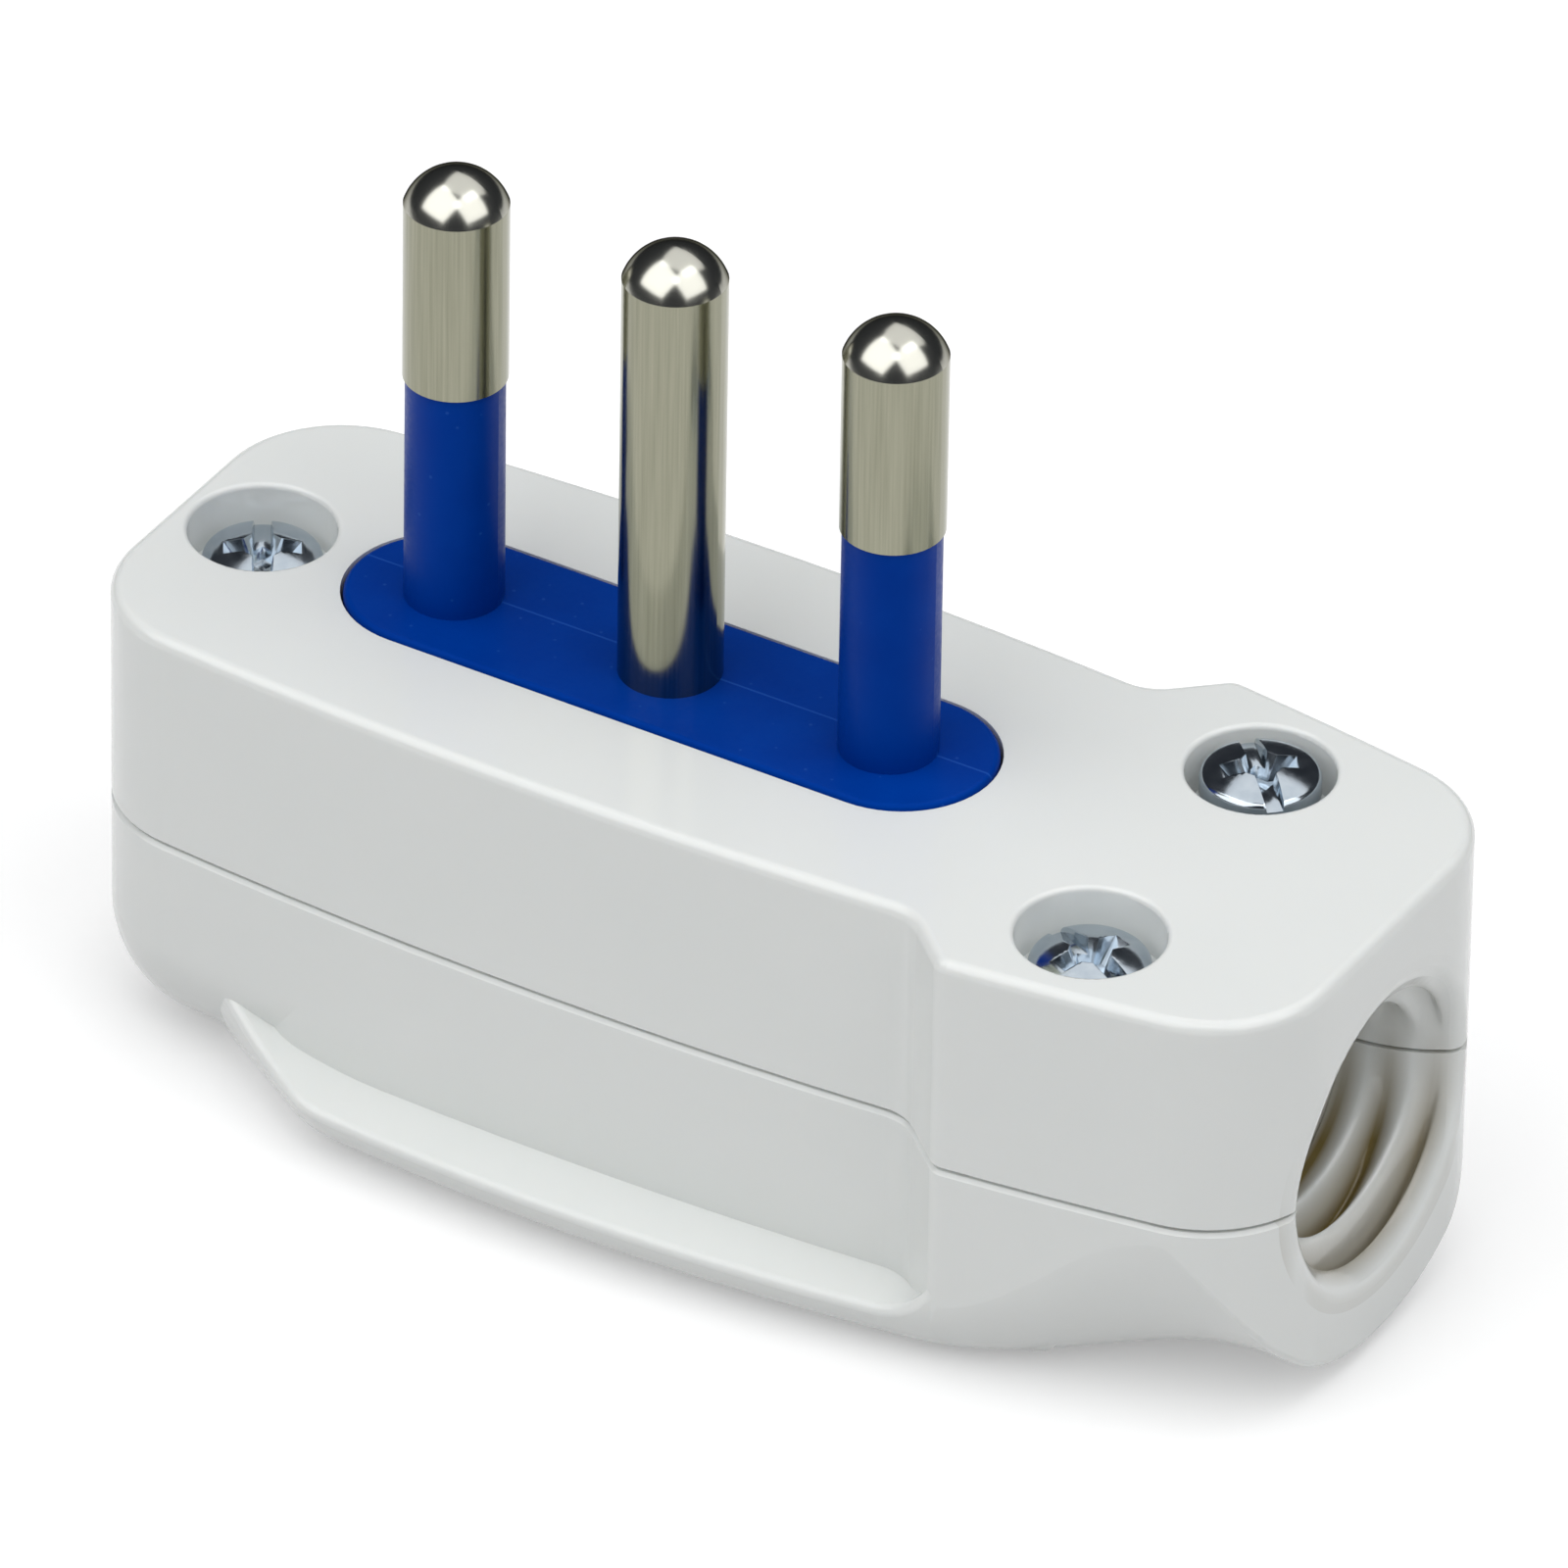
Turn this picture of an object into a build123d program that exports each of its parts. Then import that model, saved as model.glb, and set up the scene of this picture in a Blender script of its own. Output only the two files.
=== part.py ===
from build123d import *
import math
import os

# Flat rewirable mains plug, 10 A, three round pins in line, cable entry at one end.
# Two moulded half shells trap a blue pin carrier; three screws close them.
# Origin: the earth pin's axis on the engagement face. +X runs along the plug to the
# cable entry, +Z along the pins. Millimetres.

# Pins
pin_pitch = 9.5
pin_diameter = 4.0
pin_length = 19.0
pin_dome_height = 1.4
sleeve_root_diameter = 3.83
sleeve_tip_diameter = 3.79
sleeve_length = 10.0
neck_diameter = 3.0
collar_diameter = 5.2
collar_depth = 1.2
collar_height = 1.6
tail_diameter = 5.6
tail_length = 6.4
tail_chamfer = 0.3
wire_hole_diameter = 2.6
wire_hole_depth = 2.9

# Pin carrier
plate_length = 27.5
plate_width = 7.5
plate_proud = 0.12
plate_edge_radius = 0.25
plate_clearance = 0.12
flange_length = 28.0
flange_width = 10.7
flange_corner_radius = 1.5
flange_thickness = 3.0

# Housing plan, half widths measured from the pin line
housing_depth = 19.0
split_depth = 9.4
nose_reach = 21.65
nose_corner_radius = 5.0
core_half_width = 9.27
core_middle = 0.5
core_side_radius = 190.0
step_foot = 15.6
step_foot_radius = 2.0
step_head = 18.1
step_head_half_width = 10.92
step_head_radius = 0.8
cable_reach = 31.15
cable_half_width = 8.95
cable_side_bow = 0.14
cable_corner_radius = 5.0
face_edge_radius = 0.45
split_gap = 0.18
split_gap_depth = 0.4
split_bevel_front = 0.06
split_bevel_rear = 0.15

# Finger lips on the rear shell
lip_half_width = 12.2
lip_middle = 6.0
lip_shoulder_reach = 9.2
lip_shoulder_half_width = 11.75
lip_shoulder_radius = 4.0
lip_root_reach = 14.6
lip_root_inset = 0.3
lip_root_radius = 6.0
lip_root_run = 3.0
lip_root_tuck = 2.6
lip_tail_run = 4.5
lip_tail_tuck = 2.2
lip_depth = 16.4
lip_rise_start = 7.0
lip_rise_radius = 19.0
lip_end_radius = 2.5
lip_edge_radius = 0.3

# Rounded underside
nose_under_radius = 4.9
lip_under_radius = 3.4
cable_end_lift = 0.5
half_round_flat = 0.25
half_round_drop = 0.4
half_round_reach = 26.0
end_edge_radius = 0.3
wall_fade_run = 1.0
wall_fade_radius = 3.0
step_blend = 1.2
under_overlap = 0.02

# Walls and wiring chamber
front_wall = 2.2
side_wall = 1.8
rear_wall = 2.0
chamber_reach = 15.0
chamber_corner_radius = 1.5
rim_height = 1.0
rim_thickness = 0.9
rim_clearance = 0.12
rim_length = 25.0
post_thickness = 1.4
post_width = 6.8
boss_diameter = 7.5

# Cable tunnel: straight throat, flaring funnel with grip rings that fade at the split
throat_radius = 3.7
throat_edge_radius = 0.3
funnel_start = 26.6
funnel_radius = 4.5
funnel_curve_radius = 7.0
ring_count = 2
ring_pitch = 1.6
ring_inset = 1.75
ring_bore = 4.4
ring_bore_step = 0.35
groove_radius = 6.4
groove_step = 0.8
rim_inset = 0.7
rim_radius = 5.5
mouth_radius = 6.2
mouth_lip_radius = 0.75
mouth_overrun = 0.3

# Housing screws
nose_screw_reach = 18.0
clamp_screw_reach = 21.9
clamp_screw_offset = 6.23
well_diameter = 5.7
well_depth = 2.2
well_edge_radius = 0.2
head_diameter = 4.6
head_height = 1.45
head_rim_height = 1.0
screw_diameter = 2.9
screw_length = 13.0
screw_point = 1.6
screw_hole_clearance = 0.15
pilot_clearance = 0.05
pilot_overrun = 0.5
slot_width = 0.85
slot_depth = 0.7
cross_length = 3.2
loose_screw_lift = 1.05
nose_screw_turn = 122.0
front_clamp_turn = -23.4
back_clamp_turn = 133.8

# Terminal screws
terminal_diameter = 3.0
terminal_length = 2.4
terminal_clearance = 0.05
terminal_head_diameter = 5.0
terminal_head_height = 1.6
terminal_slot_width = 0.8
terminal_slot_depth = 0.8

# Levels and places that follow from the above
carrier_back = -front_wall - flange_thickness
tail_end = carrier_back - tail_length
floor_level = rear_wall - housing_depth
seat_level = -well_depth
cable_under_depth = housing_depth - cable_end_lift
cable_under_width = cable_half_width - half_round_flat
cable_under_height = cable_under_depth - split_depth - half_round_drop
screw_spots = (
    (-nose_screw_reach, 0, nose_screw_turn, 0),
    (clamp_screw_reach, -clamp_screw_offset, front_clamp_turn, 0),
    (clamp_screw_reach, clamp_screw_offset, back_clamp_turn, loose_screw_lift),
)


def core_width(x):
    """Half width of the waisted middle, a shallow circular side."""
    return core_half_width - core_side_radius + math.sqrt(core_side_radius ** 2 - (x - core_middle) ** 2)


def both_sides(half):
    """Close a half outline, drawn from the axis to the axis on +Y, with its mirror image."""
    return make_face(half + mirror(half, about=Plane.XZ))


def round_pair(sketch, corner, radius):
    """Round one corner of an outline and its mirror image."""
    for side in (1, -1):
        spot = (corner[0], side * corner[1], 0)
        sketch = fillet(sketch.vertices().sort_by_distance(spot)[0], radius)
    return sketch


def side_arc(start, end, inset=0):
    """The waisted side between two stations along the plug, or a line inside it."""
    stations = (start, (start + end) / 2, end)
    return ThreePointArc(*[(x, core_width(x) - inset) for x in stations])


def cable_width(x):
    """Half width of the cable end, a slightly bowed and tapering side."""
    run = (x - step_head) / (cable_reach - step_head)
    bow = 4 * cable_side_bow * run * (1 - run)
    return step_head_half_width + run * (cable_half_width - step_head_half_width) + bow


def housing_plan():
    """Outline of the closed housing: blunt nose, waisted middle, wider cable end."""
    nose_corner = (-nose_reach, core_width(-nose_reach))
    foot = (step_foot, core_width(step_foot))
    head = (step_head, step_head_half_width)
    cable_half = (step_head + cable_reach) / 2
    cable_corner = (cable_reach, cable_half_width)
    half = Line((-nose_reach, 0), nose_corner)
    half += side_arc(-nose_reach, step_foot)
    half += Line(foot, head)
    half += ThreePointArc(head, (cable_half, cable_width(cable_half)), cable_corner)
    half += Line(cable_corner, (cable_reach, 0))
    plan = both_sides(half)
    plan = round_pair(plan, nose_corner, nose_corner_radius)
    plan = round_pair(plan, foot, step_foot_radius)
    plan = round_pair(plan, head, step_head_radius)
    return round_pair(plan, cable_corner, cable_corner_radius)


def stretch(plan, start, end):
    """The part of an outline that lies between two stations along the plug."""
    window = Rectangle(end - start, 4 * lip_half_width, align=(Align.MIN, Align.CENTER))
    return plan & Pos(start, 0) * window


def lip_plan():
    """Outline of the flange that forms both finger lips; its ends run into the housing."""
    root = (-lip_root_reach, core_width(-lip_root_reach) - lip_root_inset)
    start = (-lip_root_reach - lip_root_run, root[1] - lip_root_tuck)
    shoulder = (-lip_shoulder_reach, lip_shoulder_half_width)
    crest = (lip_middle, lip_half_width)
    head = (step_head, step_head_half_width)
    end = (step_head + lip_tail_run, step_head_half_width - lip_tail_tuck)
    half = Line((start[0], 0), start)
    half += Line(start, root)
    half += Line(root, shoulder)
    half += ThreePointArc(shoulder, crest, head)
    half += Line(head, end)
    half += Line(end, (end[0], 0))
    plan = both_sides(half)
    plan = round_pair(plan, root, lip_root_radius)
    plan = round_pair(plan, shoulder, lip_shoulder_radius)
    return round_pair(plan, head, lip_root_radius)


def lip_side_view():
    """Side view of the flange: level lip, rising to the nose and curving up into the step."""
    rise_end = -lip_root_reach - lip_root_run
    far_end = step_head + lip_tail_run
    curve_start = step_head - lip_end_radius
    curve_top = -lip_depth + lip_end_radius
    below = -housing_depth - lip_under_radius

    def rise_at(x):
        run = -lip_rise_start - x
        return -lip_depth + lip_rise_radius - math.sqrt(lip_rise_radius ** 2 - run ** 2)

    rise_half = (rise_end - lip_rise_start) / 2
    outline = ThreePointArc(
        (rise_end, rise_at(rise_end)), (rise_half, rise_at(rise_half)), (-lip_rise_start, -lip_depth)
    )
    outline += Line((-lip_rise_start, -lip_depth), (curve_start, -lip_depth))
    outline += RadiusArc((curve_start, -lip_depth), (step_head, curve_top), -lip_end_radius)
    outline += Polyline(
        (step_head, curve_top),
        (far_end, curve_top),
        (far_end, below),
        (rise_end, below),
        (rise_end, rise_at(rise_end)),
    )
    return make_face(outline)


def under_scrap(x, half_width, depth, round_width, round_height):
    """What the rounding removes at one station: all below a round-bottomed trough."""
    side = half_width + under_overlap
    slack = cable_corner_radius
    rise = round_height - depth
    flat = side - round_width
    half = Line((0, -depth), (flat, -depth))
    half += EllipticalCenterArc((flat, rise), round_width, round_height, start_angle=270, arc_size=90)
    half += Polyline((side, rise), (side + slack, rise), (side + slack, -depth - slack), (0, -depth - slack))
    trough = make_face(half + mirror(half, about=Plane.YZ))
    return Plane((x, 0, 0), x_dir=(0, 1, 0), z_dir=(1, 0, 0)) * trough


def cable_rounding():
    """The growing edge rounding that lifts the cable end and turns it half round."""
    span = half_round_reach - step_head
    widen = (cable_under_width - lip_under_radius) / span
    heighten = (cable_under_height - lip_under_radius) / span
    lift = cable_end_lift / span ** 2
    deepest = housing_depth + under_overlap
    first_side = step_head_half_width + cable_side_bow
    stations = [(step_head - 2 * step_blend, first_side, deepest, lip_under_radius, lip_under_radius)]
    for run in (span / 8, span / 2, span):
        x = step_head + run
        rounding = (lip_under_radius + widen * run, lip_under_radius + heighten * run)
        stations.append((x, cable_width(x), deepest - lift * run ** 2, *rounding))
    last_side = cable_half_width + cable_side_bow
    end = cable_reach + mouth_overrun
    stations.append((end, last_side, cable_under_depth, cable_under_width, cable_under_height))
    return loft([under_scrap(*station) for station in stations])


def housing_block():
    """The closed housing before it is parted and hollowed."""
    plan = housing_plan()
    wall_start = wall_fade_run - lip_root_reach
    cable_start = step_head - step_blend
    nose = extrude(stretch(plan, -2 * nose_reach, -lip_shoulder_reach), -housing_depth)
    under_edges = nose.faces().sort_by(Axis.Z)[0].edges().sort_by(Axis.X)[:-1]
    nose = fillet(under_edges, nose_under_radius)
    middle_plan = stretch(plan, wall_start, cable_start)
    middle_plan = round_pair(middle_plan, (wall_start, core_width(wall_start)), wall_fade_radius)
    middle = extrude(middle_plan, -lip_depth - face_edge_radius)
    cable_end = extrude(stretch(plan, cable_start, 2 * cable_reach), -housing_depth) - cable_rounding()
    upper = nose + middle + cable_end
    upper = fillet(upper.faces().sort_by(Axis.Z)[-1].edges(), face_edge_radius)
    flange = extrude(Pos(0, 0, -housing_depth) * lip_plan(), housing_depth)
    flange = fillet(flange.faces().sort_by(Axis.Z)[0].edges(), lip_under_radius)
    side_view = extrude(Plane.XZ * lip_side_view(), 2 * lip_half_width, both=True)
    lips = flange & side_view
    lip_edges = lips.edges().filter_by(GeomType.CIRCLE)
    lip_edges = lip_edges.filter_by(lambda edge: abs(edge.center().Z + lip_depth) < under_overlap)
    return upper + fillet(lip_edges, lip_edge_radius)


def chamber_plan(wall):
    """Outline of the room inside the housing at a given distance from its sides."""
    start = wall - nose_reach
    nose_corner = (start, core_width(start) - wall)
    far_corner = (chamber_reach, core_width(chamber_reach) - wall)
    half = Line((start, 0), nose_corner)
    half += side_arc(start, chamber_reach, wall)
    half += Line(far_corner, (chamber_reach, 0))
    plan = both_sides(half)
    plan = round_pair(plan, nose_corner, nose_corner_radius - wall)
    return round_pair(plan, far_corner, chamber_corner_radius)


def funnel_width(x):
    """Half width of the flaring funnel where the shells meet."""
    run = max(x - funnel_start, 0)
    return funnel_radius + funnel_curve_radius - math.sqrt(funnel_curve_radius ** 2 - run ** 2)


def funnel_section(x, half_height):
    """Oval cross section of the funnel; at the split it keeps the plain flaring width."""
    width = funnel_width(x)
    oval = scale(Circle(width), by=(1, half_height / width, 1))
    return Plane((x, 0, 0), x_dir=(0, 1, 0), z_dir=(1, 0, 0)) * oval


def cable_tunnel():
    """The round way in for the cable: straight throat, then rings and grooves out to the mouth."""
    knots = [(funnel_start, funnel_radius)]
    for ring in reversed(range(ring_count)):
        crest_x = cable_reach - ring_inset - ring * ring_pitch
        knots.append((crest_x, ring_bore - ring * ring_bore_step))
        knots.append((crest_x + ring_pitch / 2, groove_radius - ring * groove_step))
    knots.append((cable_reach - rim_inset, rim_radius))
    knots.append((cable_reach, mouth_radius))
    ovals = [funnel_section(*knots[0])]
    for inner, outer in zip(knots, knots[1:]):
        ovals.append(funnel_section((inner[0] + outer[0]) / 2, (inner[1] + outer[1]) / 2))
        ovals.append(funnel_section(*outer))
    mouth_end = cable_reach + mouth_overrun
    ovals.append(funnel_section(mouth_end, funnel_width(mouth_end)))
    start = chamber_reach - chamber_corner_radius
    throat = Plane((start, 0, 0), z_dir=(1, 0, 0)) * Circle(throat_radius)
    tunnel = loft(ovals) + extrude(throat, funnel_start - start)
    throat_spot = (funnel_start, 0, throat_radius)
    throat_edge = tunnel.edges().filter_by(GeomType.CIRCLE).sort_by_distance(throat_spot)[0]
    return Pos(0, 0, -split_depth) * fillet(throat_edge, throat_edge_radius)


def round_mouth(shell):
    """Round the lip of a shell where the cable tunnel comes out."""
    lip = shell.edges().filter_by(GeomType.BSPLINE).filter_by(lambda edge: edge.length > mouth_lip_radius)
    lip = lip.filter_by_position(Axis.X, cable_reach - mouth_overrun, cable_reach + mouth_overrun)
    lip = lip.filter_by(lambda edge: abs(edge.center().Z + split_depth) < mouth_radius + mouth_overrun)
    return fillet(lip, mouth_lip_radius)


def upright(x, y, diameter, top, bottom):
    """A round bar or hole standing along Z between two levels."""
    return Pos(x, y, bottom) * extrude(Circle(diameter / 2), top - bottom)


def front_shell(block, tunnel):
    """The half towards the socket: pin window, screw wells and upper half of the tunnel."""
    shell = split(block, bisect_by=Plane.XY.offset(split_gap - split_depth), keep=Keep.TOP)
    shell = chamfer(shell.faces().sort_by(Axis.Z)[0].edges(), split_bevel_front)
    land = stretch(offset(housing_plan(), -split_gap_depth), -2 * nose_reach, funnel_start)
    shell += Pos(0, 0, -split_depth) * extrude(land, split_gap + front_wall)
    room = Pos(0, 0, -split_depth) * extrude(chamber_plan(side_wall), split_depth - front_wall)
    room -= upright(-nose_screw_reach, 0, boss_diameter, 0, -split_depth)
    window_length = plate_length + 2 * plate_clearance
    window_width = plate_width + 2 * plate_clearance
    window = Pos(0, 0, -front_wall) * extrude(SlotOverall(window_length, window_width), 2 * front_wall)
    shell = round_mouth(shell - room - window - tunnel)
    for x, y, turn, lift in screw_spots:
        shell -= upright(x, y, well_diameter, well_depth, seat_level)
        shell -= upright(x, y, screw_diameter + 2 * screw_hole_clearance, 0, -housing_depth)
    face = shell.faces().sort_by(Axis.Z)[-1]
    rims = face.edges().filter_by(GeomType.CIRCLE)
    rims = rims.filter_by(lambda edge: abs(edge.radius - well_diameter / 2) < under_overlap)
    return fillet(rims, well_edge_radius)


def rear_shell(block, tunnel):
    """The half towards the hand: finger lips, locating rim, carrier posts and screw bosses."""
    shell = split(block, bisect_by=Plane.XY.offset(-split_depth), keep=Keep.BOTTOM)
    end_edges = shell.edges().filter_by(GeomType.BSPLINE)
    shell = fillet(end_edges.filter_by_position(Axis.X, half_round_reach, cable_reach), end_edge_radius)
    shell = chamfer(shell.faces().sort_by(Axis.Z)[-1].edges(), split_bevel_rear)
    rim_outside = side_wall + rim_clearance
    rim_inside = rim_outside + rim_thickness
    room = Pos(0, 0, floor_level) * extrude(chamber_plan(rim_inside), housing_depth)
    room = fillet(room.faces().sort_by(Axis.Z)[0].edges(), chamber_corner_radius)
    room -= upright(-nose_screw_reach, 0, boss_diameter, -split_depth, -housing_depth)
    rim_plan = chamber_plan(rim_outside) - chamber_plan(rim_inside)
    rim_plan = stretch(rim_plan, -rim_length / 2, rim_length / 2)
    rim = Pos(0, 0, -split_depth - rim_height) * extrude(rim_plan, 2 * rim_height)
    shell = shell - room + rim
    for side in (1, -1):
        post = Rectangle(post_thickness, post_width)
        shell += Pos(side * pin_pitch / 2, 0, -housing_depth + rear_wall / 2) * extrude(
            post, carrier_back + housing_depth - rear_wall / 2
        )
    shell = round_mouth(shell - tunnel)
    pilot_end = seat_level - screw_length - pilot_overrun
    for x, y, turn, lift in screw_spots:
        shell -= upright(x, y, screw_diameter + 2 * pilot_clearance, 0, pilot_end)
    return shell


def pin_blank(shoulder):
    """Turned contact before drilling: domed pin, thin neck from its shoulder, collar, wide tail."""
    radius = pin_diameter / 2
    dome_radius = (radius ** 2 + pin_dome_height ** 2) / (2 * pin_dome_height)
    dome_foot = pin_length - pin_dome_height
    dome_middle = (radius / 2, pin_length - dome_radius + math.sqrt(dome_radius ** 2 - radius ** 2 / 4))
    neck = neck_diameter / 2
    collar = collar_diameter / 2
    collar_end = -collar_depth - collar_height
    tail = tail_diameter / 2
    outline = ThreePointArc((0, pin_length), dome_middle, (radius, dome_foot))
    outline += Polyline(
        (radius, dome_foot),
        (radius, shoulder),
        (neck, shoulder),
        (neck, -collar_depth),
        (collar, -collar_depth),
        (collar, collar_end),
        (neck, collar_end),
        (neck, carrier_back),
        (tail, carrier_back),
        (tail, tail_end + tail_chamfer),
        (tail - tail_chamfer, tail_end),
        (0, tail_end),
        (0, pin_length),
    )
    return revolve(make_face(Plane.XZ * outline), Axis.Z)


def drilled(blank):
    """A contact with its cross hole for the wire and the tapped hole for the clamping screw."""
    hole_level = carrier_back - wire_hole_depth
    wire_hole = Rot(90, 0, 0) * Cylinder(wire_hole_diameter / 2, 2 * tail_diameter)
    tapped = upright(0, 0, terminal_diameter + 2 * terminal_clearance, hole_level, 2 * tail_end)
    return blank - Pos(0, 0, hole_level) * wire_hole - tapped


def pin_carrier(blanks):
    """Blue moulding: plate in the window, flange behind the front wall, sleeves on two pins."""
    plate = Pos(0, 0, -front_wall) * extrude(SlotOverall(plate_length, plate_width), front_wall + plate_proud)
    plate = fillet(plate.faces().sort_by(Axis.Z)[-1].edges(), plate_edge_radius)
    flange = RectangleRounded(flange_length, flange_width, flange_corner_radius)
    carrier = plate + Pos(0, 0, carrier_back) * extrude(flange, flange_thickness)
    sleeve_foot = (Align.CENTER, Align.CENTER, Align.MIN)
    sleeve = Cone(sleeve_root_diameter / 2, sleeve_tip_diameter / 2, sleeve_length, align=sleeve_foot)
    for side in (1, -1):
        carrier += Pos(side * pin_pitch, 0, 0) * sleeve
    for blank in blanks:
        carrier -= blank
    return carrier


def housing_screw():
    """Pan head screw with a slot and a shorter cross slot; its seat lies at zero."""
    head = head_diameter / 2
    cap_height = head_height - head_rim_height
    cap_radius = (head ** 2 + cap_height ** 2) / (2 * cap_height)
    cap_middle = (head / 2, head_height - cap_radius + math.sqrt(cap_radius ** 2 - head ** 2 / 4))
    shank = screw_diameter / 2
    outline = ThreePointArc((0, head_height), cap_middle, (head, head_rim_height))
    outline += Polyline(
        (head, head_rim_height),
        (head, 0),
        (shank, 0),
        (shank, screw_point - screw_length),
        (0, -screw_length),
        (0, head_height),
    )
    screw = revolve(make_face(Plane.XZ * outline), Axis.Z)
    cut = extrude(Rectangle(2 * head_diameter, slot_width) + Rectangle(slot_width, cross_length), head_height)
    return screw - Pos(0, 0, head_height - slot_depth) * cut


def terminal_screw():
    """Slotted clamping screw that points up; its seat lies at zero."""
    head = upright(0, 0, terminal_head_diameter, 0, -terminal_head_height)
    shank = upright(0, 0, terminal_diameter, terminal_length, -terminal_head_height / 2)
    slot = extrude(Rectangle(2 * terminal_head_diameter, terminal_slot_width), terminal_slot_depth)
    return head + shank - Pos(0, 0, -terminal_head_height) * slot


os.makedirs("parts", exist_ok=True)
body = housing_block()
way_in = cable_tunnel()
line_blank = Pos(-pin_pitch, 0, 0) * pin_blank(sleeve_length)
neutral_blank = Pos(pin_pitch, 0, 0) * pin_blank(sleeve_length)
earth_blank = pin_blank(0)
carrier = pin_carrier((line_blank, neutral_blank, earth_blank))
insulated = drilled(pin_blank(sleeve_length))
closing = housing_screw()
clamping = terminal_screw()

export_step(front_shell(body, way_in), "parts/front_shell.step")
export_step(rear_shell(body, way_in), "parts/rear_shell.step")
export_step(carrier, "parts/pin_carrier.step")
export_step(Pos(-pin_pitch, 0, 0) * insulated, "parts/line_pin.step")
export_step(Pos(pin_pitch, 0, 0) * insulated, "parts/neutral_pin.step")
export_step(drilled(earth_blank), "parts/earth_pin.step")
placed = [Pos(x, y, seat_level + lift) * Rot(0, 0, turn) * closing for x, y, turn, lift in screw_spots]
export_step(Compound(children=placed), "parts/housing_screws.step")
placed = [Pos(spot * pin_pitch, 0, tail_end) * clamping for spot in (-1, 0, 1)]
export_step(Compound(children=placed), "parts/terminal_screws.step")
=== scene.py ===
import math

import bmesh
import bpy
from mathutils import Matrix, Vector


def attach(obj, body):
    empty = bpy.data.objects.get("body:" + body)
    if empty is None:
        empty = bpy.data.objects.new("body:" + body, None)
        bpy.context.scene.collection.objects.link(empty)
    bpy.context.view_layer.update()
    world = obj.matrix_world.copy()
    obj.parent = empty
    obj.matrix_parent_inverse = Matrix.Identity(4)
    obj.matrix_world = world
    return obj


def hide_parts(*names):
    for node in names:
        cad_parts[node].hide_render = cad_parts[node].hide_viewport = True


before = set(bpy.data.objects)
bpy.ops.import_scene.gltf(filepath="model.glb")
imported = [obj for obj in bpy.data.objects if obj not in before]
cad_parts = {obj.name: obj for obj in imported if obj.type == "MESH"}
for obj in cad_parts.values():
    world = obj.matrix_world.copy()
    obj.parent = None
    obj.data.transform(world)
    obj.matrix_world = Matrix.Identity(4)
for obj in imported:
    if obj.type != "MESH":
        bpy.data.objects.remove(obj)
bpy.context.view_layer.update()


# Pins: three contacts turned from drawn brass rod and nickel plated. The shaft keeps the
# rod's fine draw lines along its length; only the domed tip is buffed, up to a sharp edge.
# The collars are moulded into the carrier, so the pins carry no fixing of their own.

mm = 0.001
dome_foot = 17.6 * mm


def linear(code):
    """An sRGB hex colour as the linear RGBA that Blender's sockets take."""
    parts = [int(code[place:place + 2], 16) / 255 for place in (1, 3, 5)]
    return [p / 12.92 if p <= 0.04045 else ((p + 0.055) / 1.055) ** 2.4 for p in parts] + [1]


def add_node(tree, kind, feeds=None, **settings):
    """Add a node; a feed is a value, or another node's output socket to link.

    Sockets go by name, or by number where names repeat: Mix keeps its colours at 6 and 7.
    """
    made = tree.nodes.new(kind)
    for name, value in settings.items():
        setattr(made, name, value)
    for place, value in (feeds or {}).items():
        if isinstance(value, bpy.types.NodeSocket):
            tree.links.new(value, made.inputs[place])
        else:
            made.inputs[place].default_value = value
    return made


def new_finish(name):
    """An empty material with its output, ready for a surface."""
    finish = bpy.data.materials.new(name)
    finish.use_nodes = True
    finish.node_tree.nodes.clear()
    output = add_node(finish.node_tree, "ShaderNodeOutputMaterial")
    return finish, finish.node_tree, output


def dress(node, finish):
    """Give a CAD node its finish."""
    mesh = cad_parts[node].data
    mesh.materials.clear()
    mesh.materials.append(finish)


# Nickel plate over drawn brass: a warm grey metal, satin along the shaft from draw lines
# that blur what it mirrors, and brighter on the buffed dome. The dome's rim gets a painted
# dark reflection from a near-black edge tint. Real draw lines are finer: these are as
# coarse as they need to be to show.
nickel_plate, tree, output = new_finish("nickel_plated_brass")
place = add_node(tree, "ShaderNodeTexCoord").outputs["Object"]
height = add_node(tree, "ShaderNodeSeparateXYZ", {0: place}).outputs["Z"]
past_foot = add_node(tree, "ShaderNodeMath", {0: height, 1: dome_foot}, operation="GREATER_THAN")
buffed = past_foot.outputs[0]
line_spacing = 0.1 * mm
line_length = 6 * mm
lines_per_metre = (1 / line_spacing, 1 / line_spacing, 1 / line_length)
stretched = add_node(tree, "ShaderNodeMapping", {"Vector": place, "Scale": lines_per_metre})
lines = add_node(
    tree, "ShaderNodeTexNoise", {"Vector": stretched.outputs[0], "Scale": 1, "Detail": 3}
)
tone = add_node(
    tree,
    "ShaderNodeMix",
    {0: lines.outputs["Fac"], 6: linear("#80806E"), 7: linear("#A5A492")},
    data_type="RGBA",
)
bright = add_node(
    tree,
    "ShaderNodeMix",
    {0: buffed, 6: tone.outputs[2], 7: linear("#C9C8BE")},
    data_type="RGBA",
)
satin = add_node(
    tree,
    "ShaderNodeMapRange",
    {
        "Value": lines.outputs["Fac"],
        "From Min": 0.3,
        "From Max": 0.7,
        "To Min": 0.14,
        "To Max": 0.2,
    },
)
sheen = add_node(tree, "ShaderNodeMix", {0: buffed, 2: satin.outputs[0], 3: 0.19}, data_type="FLOAT")
# Painted dark reflection: on the buffed dome the edge tint is near black, so its rim mirrors dark.
painted_dark_rim = add_node(
    tree,
    "ShaderNodeMix",
    {0: buffed, 6: linear("#FFFFFF"), 7: linear("#0C0C0C")},
    data_type="RGBA",
)
line_depth = 0.003 * mm
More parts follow.
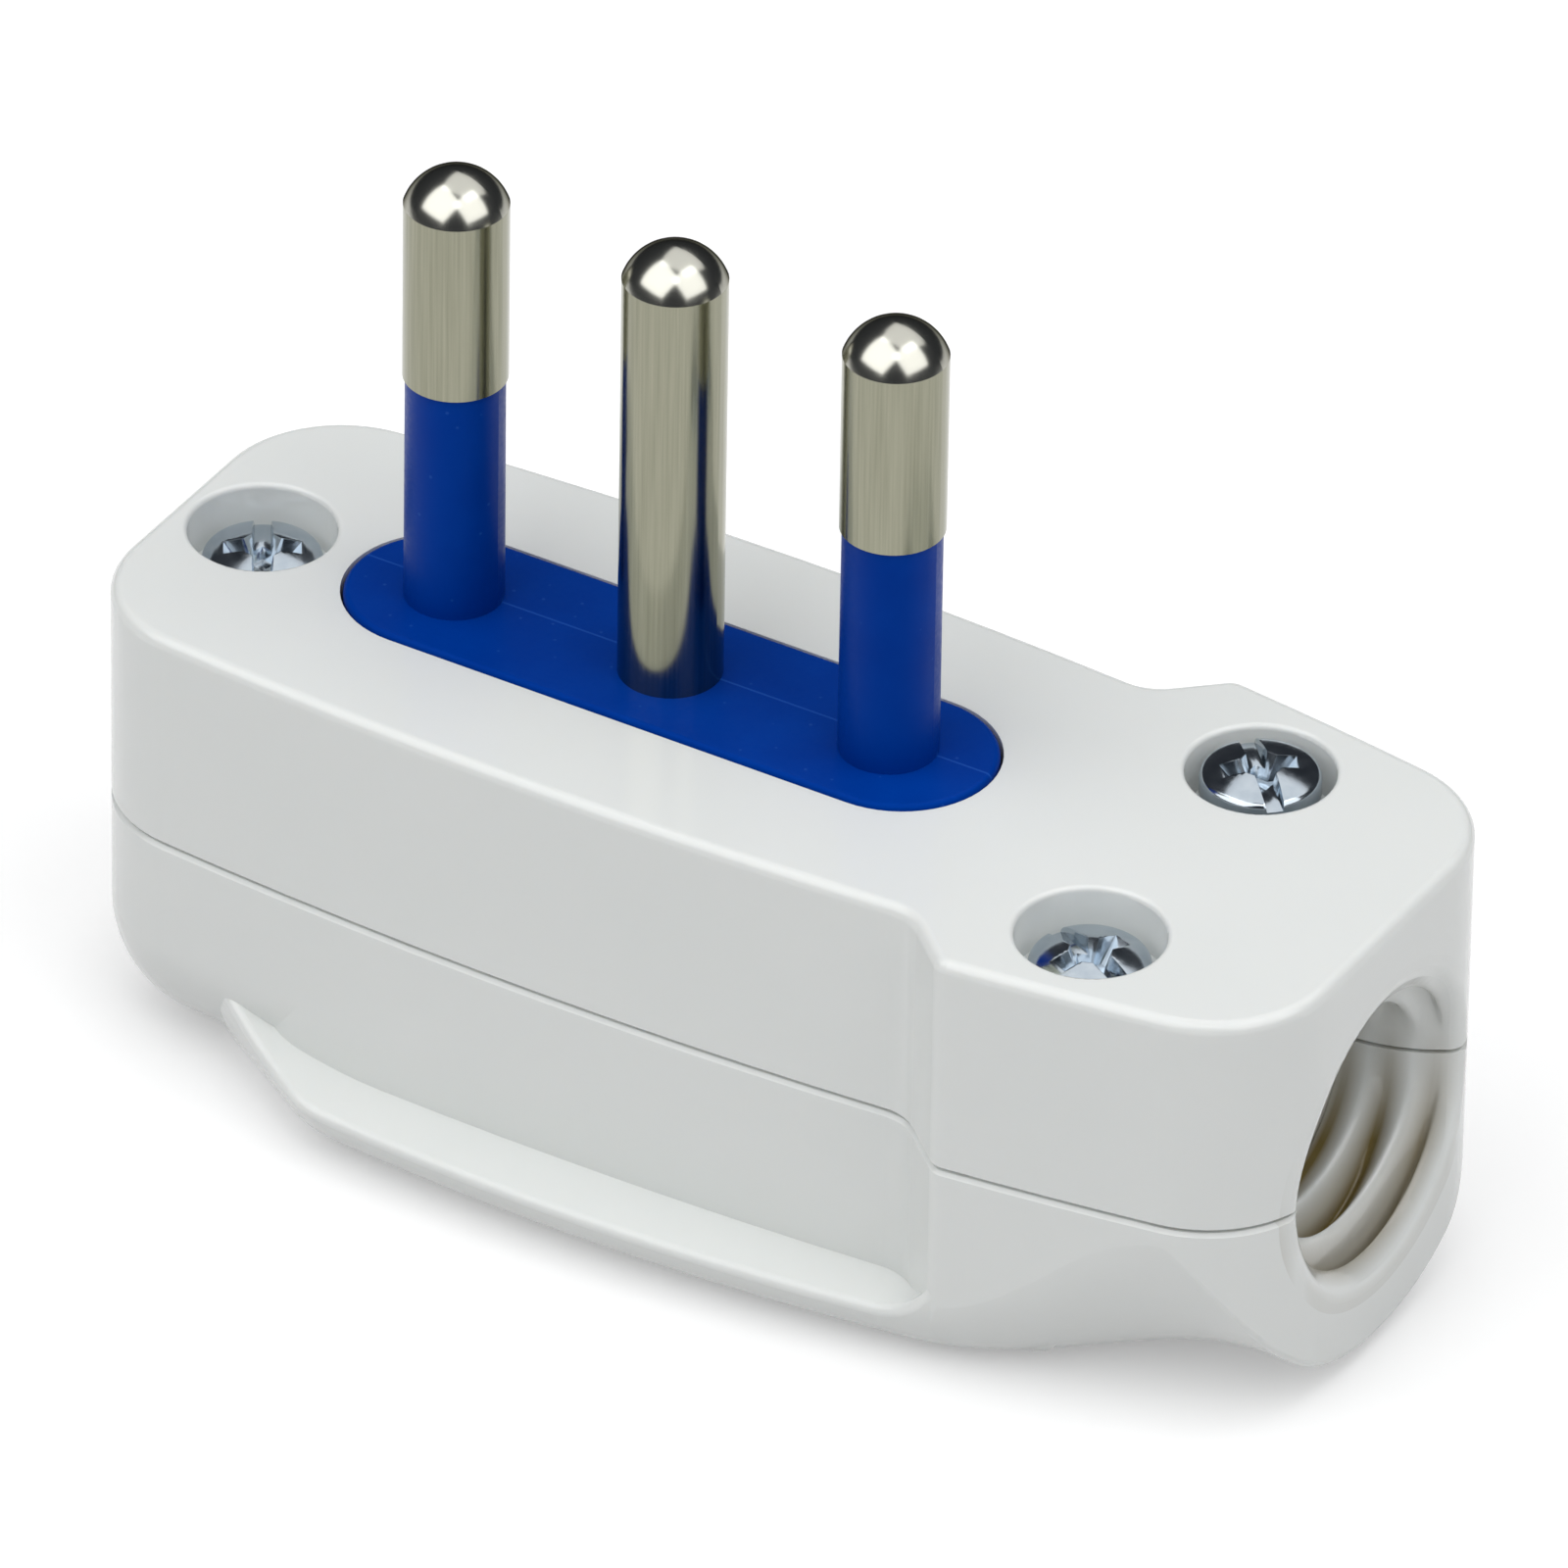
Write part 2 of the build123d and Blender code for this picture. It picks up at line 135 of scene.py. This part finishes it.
relief = add_node(
    tree, "ShaderNodeBump", {"Strength": 0.12, "Distance": line_depth, "Height": lines.outputs["Fac"]}
)
metal = add_node(
    tree,
    "ShaderNodeBsdfPrincipled",
    {
        "Base Color": bright.outputs[2],
        "Metallic": 1,
        "Roughness": sheen.outputs[0],
        "Specular Tint": painted_dark_rim.outputs[2],
        "Normal": relief.outputs[0],
    },
)
tree.links.new(metal.outputs[0], output.inputs[0])
for pin in ("line_pin", "earth_pin", "neutral_pin"):
    dress(pin, nickel_plate)


# Pin carrier: one blue polyamide moulding that holds the three pins. Its plate fills
# the window of the front shell, its flange bears behind it, and its two sleeves
# insulate the outer pins.

parting_y = 0.4 * mm
parting_half_width = 0.05 * mm
plate_top = 0.3 * mm

# Satin polyamide: deep blue, faintly clouded, with a soft sheen, a few pale specks of
# dust, and a hair line on the plate where the halves of the mould met.
blue_polyamide, tree, output = new_finish("moulded_polyamide_blue")
place = add_node(tree, "ShaderNodeTexCoord").outputs["Object"]
cloud_size = 4 * mm
cloud = add_node(
    tree, "ShaderNodeTexNoise", {"Vector": place, "Scale": 1 / cloud_size, "Detail": 4}
)
body_tone = add_node(
    tree,
    "ShaderNodeMix",
    {0: cloud.outputs["Fac"], 6: linear("#002F89"), 7: linear("#003FA1")},
    data_type="RGBA",
)
dust_spacing = 0.9 * mm
dust = add_node(tree, "ShaderNodeTexVoronoi", {"Vector": place, "Scale": 1 / dust_spacing})
specks = add_node(
    tree,
    "ShaderNodeMapRange",
    {
        "Value": dust.outputs["Distance"],
        "From Min": 0.05,
        "From Max": 0.1,
        "To Min": 0.25,
        "To Max": 0,
    },
)
dusty = add_node(
    tree,
    "ShaderNodeMix",
    {0: specks.outputs[0], 6: body_tone.outputs[2], 7: linear("#3E6CBE")},
    data_type="RGBA",
)
axes = add_node(tree, "ShaderNodeSeparateXYZ", {0: place})
near_line = add_node(
    tree,
    "ShaderNodeMath",
    {0: axes.outputs["Y"], 1: parting_y, 2: parting_half_width},
    operation="COMPARE",
)
on_plate = add_node(
    tree, "ShaderNodeMath", {0: axes.outputs["Z"], 1: plate_top}, operation="LESS_THAN"
)
parting = add_node(
    tree, "ShaderNodeMath", {0: near_line.outputs[0], 1: on_plate.outputs[0]}, operation="MULTIPLY"
)
parting_fade = add_node(
    tree, "ShaderNodeMapRange", {"Value": parting.outputs[0], "To Min": 0, "To Max": 0.35}
)
blue = add_node(
    tree,
    "ShaderNodeMix",
    {0: parting_fade.outputs[0], 6: dusty.outputs[2], 7: linear("#2F66C4")},
    data_type="RGBA",
)
grain_size = 0.2 * mm
grain_depth = 0.004 * mm
grain = add_node(
    tree, "ShaderNodeTexNoise", {"Vector": place, "Scale": 1 / grain_size, "Detail": 2}
)
satin = add_node(
    tree,
    "ShaderNodeMapRange",
    {
        "Value": grain.outputs["Fac"],
        "From Min": 0.3,
        "From Max": 0.7,
        "To Min": 0.32,
        "To Max": 0.44,
    },
)
relief = add_node(
    tree, "ShaderNodeBump", {"Strength": 0.3, "Distance": grain_depth, "Height": grain.outputs["Fac"]}
)
plastic = add_node(
    tree,
    "ShaderNodeBsdfPrincipled",
    {
        "Base Color": blue.outputs[2],
        "Roughness": satin.outputs[0],
        "IOR": 1.53,
        "Specular IOR Level": 0.16,
        "Specular Tint": linear("#1660FF"),
        "Normal": relief.outputs[0],
    },
)
tree.links.new(plastic.outputs[0], output.inputs[0])
dress("pin_carrier", blue_polyamide)


# Terminal screws: slotted steel clamping screws, zinc plated, one from below into the
# end of each pin's tail, where it presses on the wire. Hidden once the plug is closed.

tail_end = -11.6 * mm
pin_pitch = 9.5 * mm
terminal_spots = [(-pin_pitch, 0, tail_end), (0, 0, tail_end), (pin_pitch, 0, tail_end)]
terminal_turns = [0.3, 1.1, 0.7]
terminal_radius = 1.5 * mm
terminal_root = 1.22 * mm
terminal_length = 2.4 * mm
terminal_thread_pitch = 0.5 * mm
terminal_head_radius = 2.5 * mm
terminal_head_height = 1.6 * mm
terminal_slot_width = 0.8 * mm
terminal_slot_depth = 0.8 * mm
edge_rounding = 0.06 * mm
shank_overlap = 0.2 * mm


def new_piece(name, mesh):
    """A new object at the origin, linked into the scene."""
    piece = bpy.data.objects.new(name, mesh)
    bpy.context.scene.collection.objects.link(piece)
    return piece


def mesh_from(shape, name):
    """Clean a built shape and turn it into a smooth-shaded mesh."""
    same_point = 0.001 * mm
    bmesh.ops.remove_doubles(shape, verts=shape.verts, dist=same_point)
    bmesh.ops.recalc_face_normals(shape, faces=shape.faces)
    mesh = bpy.data.meshes.new(name)
    shape.to_mesh(mesh)
    shape.free()
    mesh.shade_smooth()
    return mesh


def turned(profile, name, around=48):
    """Spin a profile of radius and height pairs about Z into a closed solid."""
    shape = bmesh.new()
    points = [shape.verts.new((radius, 0, level)) for radius, level in profile]
    edges = [shape.edges.new(pair) for pair in zip(points, points[1:])]
    bmesh.ops.spin(
        shape, geom=points + edges, axis=(0, 0, 1), cent=(0, 0, 0), angle=2 * math.pi, steps=around
    )
    return mesh_from(shape, name)


def threaded(crest, root, pitch, top, bottom, point, name, around=24):
    """A closed shank with a helical thread; its last stretch narrows over the point."""
    rows_per_pitch = 8
    root_ends, crest_starts = 0.25, 0.875
    blunt_tip = 0.02
    shape = bmesh.new()
    rows = int((top - bottom) / pitch * rows_per_pitch)
    rings = []
    for row in range(rows + 1):
        level = top + (bottom - top) * row / rows
        narrowing = min(1, (level - bottom) / point) if point else 1
        ring = []
        for step in range(around):
            turn = (level / pitch + step / around) % 1
            flank = (1 - abs(2 * turn - 1) - root_ends) / (crest_starts - root_ends)
            radius = root + (crest - root) * max(0, min(1, flank))
            radius *= max(narrowing, blunt_tip)
            angle = 2 * math.pi * step / around
            spot = (radius * math.cos(angle), radius * math.sin(angle), level)
            ring.append(shape.verts.new(spot))
        rings.append(ring)
    for upper, lower in zip(rings, rings[1:]):
        for step in range(around):
            after = (step + 1) % around
            shape.faces.new((upper[step], upper[after], lower[after], lower[step]))
    shape.faces.new(rings[0])
    shape.faces.new(rings[-1])
    return mesh_from(shape, name)


def wedge_cutter(low, high, foot, mouth, turn, name):
    """A block for cutting a driver slot; its length and width may grow from foot to mouth."""
    shape = bmesh.new()
    bmesh.ops.create_cube(shape, size=1)
    for corner in shape.verts:
        length, width = mouth if corner.co.z > 0 else foot
        corner.co = (corner.co.x * length, corner.co.y * width, high if corner.co.z > 0 else low)
    bmesh.ops.rotate(shape, matrix=Matrix.Rotation(turn, 3, "Z"), verts=shape.verts)
    return mesh_from(shape, name)


def settle(piece):
    """Turn a piece with modifiers into a plain mesh."""
    graph = bpy.context.evaluated_depsgraph_get()
    mesh = bpy.data.meshes.new_from_object(piece.evaluated_get(graph))
    piece.modifiers.clear()
    piece.data = mesh
    return piece


def driven_screw(head, shank, cutters, name):
    """Cut the driver slots into a head, break its edges and set it on its threaded shank."""
    bevel_angle = math.radians(40)
    crease_angle = math.radians(35)
    screw = new_piece(name, head)
    tools = [new_piece(f"{name}_cutter_{count}", mesh) for count, mesh in enumerate(cutters)]
    for tool in tools:
        cut = screw.modifiers.new("slot", "BOOLEAN")
        cut.operation = "DIFFERENCE"
        cut.object = tool
    rounding = screw.modifiers.new("edges", "BEVEL")
    rounding.width = edge_rounding
    rounding.segments = 2
    rounding.limit_method = "ANGLE"
    rounding.angle_limit = bevel_angle
    settle(screw)
    for tool in tools:
        bpy.data.objects.remove(tool)
    joined = bmesh.new()
    joined.from_mesh(screw.data)
    joined.from_mesh(shank)
    joined.to_mesh(screw.data)
    joined.free()
    screw.data.shade_smooth()
    screw.data.set_sharp_from_angle(angle=crease_angle)
    return screw


def screw_set_tree():
    """Geometry Nodes: one screw on every spot, turned and raised as the spot says."""
    tree = bpy.data.node_groups.new("screws_on_spots", "GeometryNodeTree")
    for name, kind in (("Spots", "Geometry"), ("Screw", "Object"), ("Finish", "Material")):
        tree.interface.new_socket(name, in_out="INPUT", socket_type=f"NodeSocket{kind}")
    tree.interface.new_socket("Screws", in_out="OUTPUT", socket_type="NodeSocketGeometry")
    given = add_node(tree, "NodeGroupInput")
    turn = add_node(tree, "GeometryNodeInputNamedAttribute", {"Name": "turn"}, data_type="FLOAT")
    rotation = add_node(tree, "ShaderNodeCombineXYZ", {"Z": turn.outputs["Attribute"]})
    model = add_node(tree, "GeometryNodeObjectInfo", {"Object": given.outputs["Screw"]})
    placed = add_node(
        tree,
        "GeometryNodeInstanceOnPoints",
        {
            "Points": given.outputs["Spots"],
            "Instance": model.outputs["Geometry"],
            "Rotation": rotation.outputs[0],
        },
    )
    real = add_node(tree, "GeometryNodeRealizeInstances", {0: placed.outputs[0]})
    finished = add_node(
        tree,
        "GeometryNodeSetMaterial",
        {"Geometry": real.outputs[0], "Material": given.outputs["Finish"]},
    )
    add_node(tree, "NodeGroupOutput", {0: finished.outputs[0]})
    return tree


screws_on_spots = screw_set_tree()


def screw_set(name, screw, spots, turns, finish):
    """Place one screw on several spots with the node tree and keep the result as a mesh."""
    points = bpy.data.meshes.new(name)
    points.from_pydata(spots, [], [])
    points.attributes.new("turn", "FLOAT", "POINT").data.foreach_set("value", turns)
    piece = new_piece(name, points)
    placing = piece.modifiers.new("spots", "NODES")
    placing.node_group = screws_on_spots
    for socket in screws_on_spots.interface.items_tree:
        if socket.name == "Screw":
            placing[socket.identifier] = screw
        if socket.name == "Finish":
            placing[socket.identifier] = finish
    settle(piece)
    bpy.data.objects.remove(screw)
    return piece


# Zinc plate on steel: a bright cool grey that mirrors the lamps, slightly clouded and
# rippled by the plating bath.
zinc_plate, tree, output = new_finish("zinc_plated_steel")
place = add_node(tree, "ShaderNodeTexCoord").outputs["Object"]
spangle_size = 0.7 * mm
spangle_depth = 0.02 * mm
spangle = add_node(
    tree, "ShaderNodeTexNoise", {"Vector": place, "Scale": 1 / spangle_size, "Detail": 4}
)
tone = add_node(
    tree,
    "ShaderNodeMix",
    {0: spangle.outputs["Fac"], 6: linear("#A9B6C2"), 7: linear("#D3DBE2")},
    data_type="RGBA",
)
satin = add_node(
    tree,
    "ShaderNodeMapRange",
    {
        "Value": spangle.outputs["Fac"],
        "From Min": 0.3,
        "From Max": 0.7,
        "To Min": 0.1,
        "To Max": 0.2,
    },
)
relief = add_node(
    tree,
    "ShaderNodeBump",
    {"Strength": 0.3, "Distance": spangle_depth, "Height": spangle.outputs["Fac"]},
)
metal = add_node(
    tree,
    "ShaderNodeBsdfPrincipled",
    {
        "Base Color": tone.outputs[2],
        "Metallic": 1,
        "Roughness": satin.outputs[0],
        "Normal": relief.outputs[0],
    },
)
tree.links.new(metal.outputs[0], output.inputs[0])

terminal_head = turned(
    [
        (0, 0),
        (terminal_head_radius, 0),
        (terminal_head_radius, -terminal_head_height),
        (0, -terminal_head_height),
    ],
    "terminal_head",
)
terminal_shank = threaded(
    terminal_radius,
    terminal_root,
    terminal_thread_pitch,
    terminal_length,
    -shank_overlap,
    0,
    "terminal_shank",
)
slot_plan = (3 * terminal_head_radius, terminal_slot_width)
terminal_cutter = wedge_cutter(
    -terminal_head_height - terminal_slot_depth,
    terminal_slot_depth - terminal_head_height,
    slot_plan,
    slot_plan,
    0,
    "terminal_slot",
)
terminal_screw = driven_screw(terminal_head, terminal_shank, [terminal_cutter], "terminal_screw")
terminal_set = screw_set(
    "terminal_screw_set", terminal_screw, terminal_spots, terminal_turns, zinc_plate
)
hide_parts("terminal_screws")
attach(terminal_set, "root")


# Rear shell: the half that lies in the hand, with a finger lip along each side and the
# lower half of the cable mouth. White urea, pressed in a polished tool; the carrier is
# laid on its posts and the front shell drops over its rim.

# Moulded urea: a milky, faintly green-grey white with an even gloss. Light goes a little
# way in, so edges look soft. The grooves of the cable mouth get painted shade with a
# brownish dirt tint, darker towards the bottom and further in.
white_urea, tree, output = new_finish("moulded_urea_white")
place = add_node(tree, "ShaderNodeTexCoord").outputs["Object"]
cloud_size = 7 * mm
cloud = add_node(
    tree, "ShaderNodeTexNoise", {"Vector": place, "Scale": 1 / cloud_size, "Detail": 5}
)
white = add_node(
    tree,
    "ShaderNodeMix",
    {0: cloud.outputs["Fac"], 6: linear("#EAEDEB"), 7: linear("#EEF0EE")},
    data_type="RGBA",
)
mouth_start = 24 * mm
mouth_radius = 7 * mm
cable_axis_level = -9.4 * mm
outer_groove = 30.2 * mm
groove_pitch = 1.6 * mm
groove_half_width = 0.75 * mm
groove_bed = 0.1 * mm
darkest_below = -3.5 * mm
faintest_above = 1 * mm
axes = add_node(tree, "ShaderNodeSeparateXYZ", {0: place})
from_axis = add_node(
    tree, "ShaderNodeMath", {0: axes.outputs["Z"], 1: cable_axis_level}, operation="SUBTRACT"
)
across = add_node(
    tree, "ShaderNodeCombineXYZ", {"Y": axes.outputs["Y"], "Z": from_axis.outputs[0]}
)
distance = add_node(tree, "ShaderNodeVectorMath", {0: across.outputs[0]}, operation="LENGTH")
within = add_node(
    tree, "ShaderNodeMath", {0: distance.outputs["Value"], 1: mouth_radius}, operation="LESS_THAN"
)
past_start = add_node(
    tree, "ShaderNodeMath", {0: axes.outputs["X"], 1: mouth_start}, operation="GREATER_THAN"
)
in_mouth = add_node(
    tree, "ShaderNodeMath", {0: within.outputs[0], 1: past_start.outputs[0]}, operation="MULTIPLY"
)
from_outer = add_node(
    tree, "ShaderNodeMath", {0: axes.outputs["X"], 1: outer_groove}, operation="SUBTRACT"
)
from_groove = add_node(
    tree, "ShaderNodeMath", {0: from_outer.outputs[0], 1: groove_pitch / 2}, operation="PINGPONG"
)
in_groove = add_node(
    tree,
    "ShaderNodeMapRange",
    {
        "Value": from_groove.outputs[0],
        "From Min": groove_bed,
        "From Max": groove_half_width,
        "To Min": 1,
        "To Max": 0,
    },
)
darker_below = add_node(
    tree,
    "ShaderNodeMapRange",
    {
        "Value": from_axis.outputs[0],
        "From Min": darkest_below,
        "From Max": faintest_above,
        "To Min": 1,
        "To Max": 0.1,
    },
)
deeper = add_node(
    tree,
    "ShaderNodeMapRange",
    {
        "Value": from_outer.outputs[0],
        "From Min": -groove_pitch,
        "From Max": 0,
        "To Min": 1,
        "To Max": 0.8,
    },
)
# Painted shade with a brownish dirt tint in the mouth's grooves: darker towards the bottom and further
# in.
groove_shade_and_dirt = in_mouth
for share in (in_groove, darker_below, deeper):
    groove_shade_and_dirt = add_node(
        tree, "ShaderNodeMath", {0: groove_shade_and_dirt.outputs[0], 1: share.outputs[0]}, operation="MULTIPLY"
    )
shaded_soiled_white = add_node(
    tree,
    "ShaderNodeMix",
    {0: groove_shade_and_dirt.outputs[0], 6: white.outputs[2], 7: linear("#7A693A")},
    data_type="RGBA",
)
grain_size = 0.6 * mm
grain_depth = 0.002 * mm
grain = add_node(
    tree, "ShaderNodeTexNoise", {"Vector": place, "Scale": 1 / grain_size, "Detail": 3}
)
gloss = add_node(
    tree,
    "ShaderNodeMapRange",
    {
        "Value": grain.outputs["Fac"],
        "From Min": 0.3,
        "From Max": 0.7,
        "To Min": 0.12,
        "To Max": 0.17,
    },
)
relief = add_node(
    tree, "ShaderNodeBump", {"Strength": 0.04, "Distance": grain_depth, "Height": grain.outputs["Fac"]}
)
light_reach = 0.6 * mm
plastic = add_node(
    tree,
    "ShaderNodeBsdfPrincipled",
    {
        "Base Color": shaded_soiled_white.outputs[2],
        "Roughness": gloss.outputs[0],
        "IOR": 1.5,
        "Subsurface Weight": 0.15,
        "Subsurface Radius": (1.0, 0.9, 0.8),
        "Subsurface Scale": light_reach,
        "Normal": relief.outputs[0],
    },
)
tree.links.new(plastic.outputs[0], output.inputs[0])
dress("rear_shell", white_urea)


# Front shell: the half that faces the socket, with the window for the carrier and the
# three screw wells. Same white urea; it overlaps the rear shell's rim at the split.

dress("front_shell", white_urea)


# Closing screws: three pan-head self-tapping screws, zinc plated, one in the nose and
# two beside the cable mouth. Slot and cross in one recess take either driver; the far
# clamp screw is not turned fully home.

head_radius = 2.3 * mm
head_height = 1.45 * mm
head_rim = 1.0 * mm
rim_rounding = 0.35 * mm
foot_rounding = 0.2 * mm
shank_radius = 1.45 * mm
shank_root = 1.05 * mm
shank_pitch = 1.06 * mm
shank_length = 13 * mm
shank_point = 1.6 * mm
seat = -2.2 * mm
loose_lift = 1.05 * mm
nose_reach = 18 * mm
clamp_reach = 21.9 * mm
clamp_offset = 6.23 * mm
closing_spots = [
    (-nose_reach, 0, seat),
    (clamp_reach, -clamp_offset, seat),
    (clamp_reach, clamp_offset, seat + loose_lift),
]
closing_turns = [math.radians(turn) for turn in (122, -23.4, 133.8)]

cap_height = head_height - head_rim
cap_radius = (head_radius ** 2 + cap_height ** 2) / (2 * cap_height)
cap_edge = (head_radius - rim_rounding) / (1 - rim_rounding / cap_radius)
edge_slope = math.asin(cap_edge / cap_radius)
cap_centre = head_height - cap_radius
rim_centre = cap_centre + (cap_radius - rim_rounding) * math.cos(edge_slope)
cap_steps = 10
rim_steps = 6
head_profile = []
for step in range(cap_steps):
    slope = edge_slope * step / cap_steps
    head_profile.append((cap_radius * math.sin(slope), cap_centre + cap_radius * math.cos(slope)))
for step in range(rim_steps + 1):
    slope = edge_slope + (math.pi / 2 - edge_slope) * step / rim_steps
    reach = head_radius - rim_rounding + rim_rounding * math.sin(slope)
    head_profile.append((reach, rim_centre + rim_rounding * math.cos(slope)))
head_profile += [(head_radius, foot_rounding), (head_radius - foot_rounding, 0), (0, 0)]
closing_head = turned(head_profile, "closing_head", around=96)
closing_shank = threaded(
    shank_radius, shank_root, shank_pitch, shank_overlap, -shank_length, shank_point, "closing_shank"
)

slot_floor = 0.75 * mm
cross_floor = 0.3 * mm
cutter_overrun = 0.1 * mm
recess_top = head_height + cutter_overrun
slot_foot = (3 * head_radius, 0.62 * mm)
slot_mouth = (3 * head_radius, 0.88 * mm)
wing_foot = (1.5 * mm, 0.6 * mm)
wing_mouth = (3.4 * mm, 0.88 * mm)
core_foot = (0.9 * mm, 0.9 * mm)
core_mouth = (1.7 * mm, 1.7 * mm)
closing_cutters = [
    wedge_cutter(slot_floor, recess_top, slot_foot, slot_mouth, 0, "drive_slot"),
    wedge_cutter(cross_floor, recess_top, wing_foot, wing_mouth, math.pi / 2, "drive_cross"),
    wedge_cutter(cross_floor, recess_top, core_foot, core_mouth, math.pi / 4, "drive_core"),
]
closing_screw = driven_screw(closing_head, closing_shank, closing_cutters, "closing_screw")
closing_set = screw_set(
    "closing_screw_set", closing_screw, closing_spots, closing_turns, zinc_plate
)
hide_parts("housing_screws")
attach(closing_set, "root")


# Table: a plain white sheet under the plug. It takes the soft shadow of the lamps, and
# a little glow of its own, seen by the eye and by the metal, lifts it to paper white.
# The glow fades where the plug stands close, which paints a grey contact shadow there on top of the
# lamps' own.

table_level = -19.01 * mm
table_half = 3
sheet = bpy.data.meshes.new("table")
corners = [(-1, -1), (1, -1), (1, 1), (-1, 1)]
sheet.from_pydata(
    [(x * table_half, y * table_half, table_level) for x, y in corners], [], [(0, 1, 2, 3)]
)
table = new_piece("table", sheet)
white_sheet, tree, output = new_finish("white_sheet")
seen = add_node(tree, "ShaderNodeLightPath").outputs
eye_or_metal = add_node(
    tree,
    "ShaderNodeMath",
    {0: seen["Is Camera Ray"], 1: seen["Is Glossy Ray"]},
    operation="MAXIMUM",
)
any_eye = add_node(
    tree,
    "ShaderNodeMath",
    {0: eye_or_metal.outputs[0], 1: seen["Is Transmission Ray"]},
    operation="MAXIMUM",
)
# Painted contact shadow: ambient occlusion dims the glow within this reach of the plug.
shade_reach = 5 * mm
open_sky = add_node(tree, "ShaderNodeAmbientOcclusion", {"Distance": shade_reach}, samples=8)
glow_cut_for_painted_shadow = add_node(
    tree,
    "ShaderNodeMapRange",
    {
        "Value": open_sky.outputs["AO"],
        "From Min": 0.35,
        "From Max": 0.9,
        "To Min": 0.34,
        "To Max": 0.47,
    },
)
glow_strength = add_node(
    tree, "ShaderNodeMath", {0: any_eye.outputs[0], 1: glow_cut_for_painted_shadow.outputs[0]}, operation="MULTIPLY"
)
glow = add_node(tree, "ShaderNodeEmission", {"Strength": glow_strength.outputs[0]})
paper = add_node(tree, "ShaderNodeBsdfDiffuse", {"Color": linear("#D5D5D5")})
lit = add_node(tree, "ShaderNodeAddShader", {0: paper.outputs[0], 1: glow.outputs[0]})
tree.links.new(lit.outputs[0], output.inputs[0])
sheet.materials.append(white_sheet)


# Light: one wide soft box overhead and two lower ones, left and right of the camera,
# in a dim room, so that the polished tips show three bright panes on a dark ground.

view_azimuth = math.radians(30.58)
sideways = Vector((math.cos(view_azimuth), math.sin(view_azimuth), 0))
nearer = Vector((math.sin(view_azimuth), -math.cos(view_azimuth), 0))


def soft_box(name, right_of, in_front, above, size, radiance):
    """A rectangular lamp of the given radiance, placed as the camera sees it, facing the plug."""
    lamp = bpy.data.lights.new(name, "AREA")
    lamp.shape = "RECTANGLE"
    lamp.size, lamp.size_y = size
    lamp.energy = radiance * math.pi * size[0] * size[1]
    holder = new_piece(name, lamp)
    holder.location = right_of * sideways + in_front * nearer + Vector((0, 0, above))
    holder.rotation_mode = "QUATERNION"
    holder.rotation_quaternion = holder.location.to_track_quat("Z", "Y")
    holder.visible_camera = False


soft_box("overhead_box", right_of=0.12, in_front=-0.18, above=0.6, size=(0.72, 0.6), radiance=1)
soft_box("left_box", right_of=-0.36, in_front=0.22, above=0.56, size=(0.85, 0.75), radiance=1.8)
soft_box("right_box", right_of=0.35, in_front=0.29, above=0.53, size=(0.7, 0.68), radiance=1.65)
room = bpy.data.worlds.new("dim_room")
room.use_nodes = True
dimness = room.node_tree.nodes["Background"]
dimness.inputs["Color"].default_value = linear("#34363A")
dimness.inputs["Strength"].default_value = 1
bpy.context.scene.world = room


# Camera: a long lens from above the plug's near side, tilted as the picture is. Its place
# and lens are fitted to the pins and the housing's corners.

view_elevation = math.radians(34.73)
view_roll = math.radians(0.95)
view_distance = 831 * mm
picture_width = 1600
focal_pixels = 22697
origin_pixel = (683.9, 684.7)
sensor = 36

back = Vector((
    math.sin(view_azimuth) * math.cos(view_elevation),
    -math.cos(view_azimuth) * math.cos(view_elevation),
    math.sin(view_elevation),
))
level_up = back.cross(sideways)
right = math.cos(view_roll) * sideways + math.sin(view_roll) * level_up
up = math.cos(view_roll) * level_up - math.sin(view_roll) * sideways
offset_right = (origin_pixel[0] - picture_width / 2) * view_distance / focal_pixels
offset_up = (picture_width / 2 - origin_pixel[1]) * view_distance / focal_pixels
lens = bpy.data.cameras.new("camera")
lens.sensor_width = sensor
lens.lens = focal_pixels / picture_width * sensor
camera = new_piece("camera", lens)
stand = back * view_distance - right * offset_right - up * offset_up
facing = Matrix((right, up, back)).transposed().to_4x4()
camera.matrix_world = Matrix.Translation(stand) @ facing
bpy.context.scene.camera = camera
bpy.context.scene.view_settings.view_transform = "Standard"
